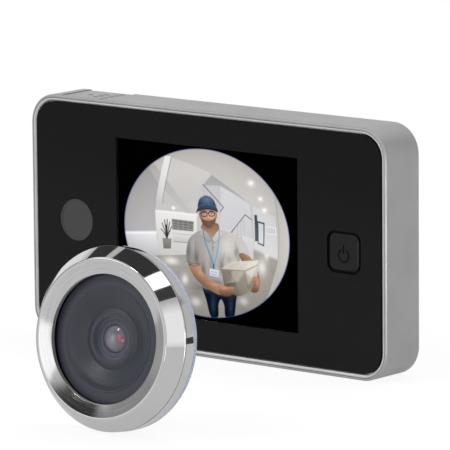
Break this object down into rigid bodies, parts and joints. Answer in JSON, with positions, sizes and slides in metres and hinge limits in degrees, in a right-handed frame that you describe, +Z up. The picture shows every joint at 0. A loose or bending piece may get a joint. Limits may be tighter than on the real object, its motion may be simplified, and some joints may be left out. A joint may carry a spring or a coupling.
{
  "type": "peephole door camera",
  "caption": "Slim battery monitor with a round picture on its display and a power button, and a round chrome peephole camera on a threaded barrel.",
  "frame": {"origin": "centre of the monitor's underside", "axes": "+X along the monitor, to the right seen from its front; +Y from the monitor's front to its back, towards the door; +Z up"},
  "size_m": [0.1311, 0.1146, 0.0693],
  "materials": {
    "silver_housing": "fine satin silver",
    "silver_rim": "bright satin silver",
    "black_panel": "fine brushed satin",
    "display_window": "clear, polished",
    "display_glass": "gloss black",
    "tray_metal": "matt",
    "badge_grey": "satin grey",
    "button_black": "satin black",
    "circuit_board": "green solder mask",
    "chip_black": "matt black",
    "white_plastic": "matt white",
    "flex_amber": "satin amber",
    "cell_wrap": "gloss wrap",
    "contact_metal": "plated",
    "zinc_steel": "zinc plated",
    "foam_black": "foam",
    "adhesive_tape": "matt black",
    "chrome_bezel": "mirror",
    "hood_slate": "satin",
    "body_black": "matt",
    "gasket_pale": "translucent pale blue",
    "lens_glass": "coated",
    "filter_red": "red-tinted",
    "lens_black": "satin black",
    "barrel_metal": "turned"
  },
  "bodies": {
    "monitor": {"rear_shell": "silver_housing", "front_frame": "silver_rim", "face_panel": "black_panel", "display_window": "display_window", "panel_tape": "adhesive_tape", "round_badge": "badge_grey", "lcd_glass": "display_glass", "lcd_tray": "tray_metal", "lcd_flex": "flex_amber", "lcd_connector": "white_plastic", "main_board": "circuit_board", "board_chips": "chip_black", "board_capacitors": "contact_metal", "camera_socket": "white_plastic", "switch_base": "body_black", "battery_cell_1": "cell_wrap", "battery_cell_2": "cell_wrap", "contact_springs": "contact_metal", "contact_plates": "contact_metal", "case_screws": "zinc_steel", "board_screws": "zinc_steel"},
    "power_button": {"power_button": "button_black"},
    "switch_plunger": {"switch_plunger": "white_plastic"},
    "battery_cover": {"battery_cover": "silver_housing"},
    "mounting_bracket": {"mounting_bracket": "zinc_steel", "bracket_pads": "foam_black"},
    "camera_unit": {"camera_bezel": "chrome_bezel", "lens_hood": "hood_slate", "camera_body": "body_black", "unit_screws": "zinc_steel", "foam_gasket": "gasket_pale", "lens_ring": "lens_black", "front_lens": "lens_glass", "rear_lens": "lens_glass", "lens_barrel": "lens_black", "infrared_filter": "filter_red", "lens_holder": "body_black", "image_sensor": "chip_black", "sensor_board": "circuit_board", "threaded_barrel": "barrel_metal"},
    "cable_guide": {"cable_guide": "white_plastic"},
    "barrel_extension": {"barrel_extension": "barrel_metal"}
  },
  "joints": [
    {"name": "power_button_press", "type": "slide", "parent": "monitor", "child": "power_button", "axis": [0, 1, 0], "range_m": [0, 0.0006], "stiffness_N_per_m": 300},
    {"name": "switch_press", "type": "slide", "parent": "monitor", "child": "switch_plunger", "axis": [0, 1, 0], "range_m": [0, 0.0006]},
    {"name": "battery_cover_tilt", "type": "hinge", "parent": "monitor", "child": "battery_cover", "pos_m": [-0.04855, 0.0069, 0.0082], "axis": [-1, 0, 0], "range_deg": [0, 40]},
    {"name": "bracket_slide", "type": "slide", "parent": "monitor", "child": "mounting_bracket", "axis": [0, 0, -1], "range_m": [0, 0.008]},
    {"name": "camera_unit_lift", "type": "slide", "parent": "monitor", "child": "camera_unit", "axis": [0, 0, 1], "range_m": [0, 0.08]},
    {"name": "guide_slide", "type": "slide", "parent": "camera_unit", "child": "cable_guide", "axis": [-0.05, 0.99, -0.1319], "range_m": [0, 0.006]},
    {"name": "extension_turn", "type": "hinge", "parent": "cable_guide", "child": "barrel_extension", "pos_m": [0.0428, -0.07742, 0.02147], "axis": [-0.05, 0.99, -0.1319], "range_deg": [0, 1440]}
  ],
  "couplings": [
    {"joint": "switch_press", "follows": "power_button_press", "ratio": 1},
    {"joint": "guide_slide", "follows": "extension_turn", "m_per_rad": 0.00023873}
  ]
}
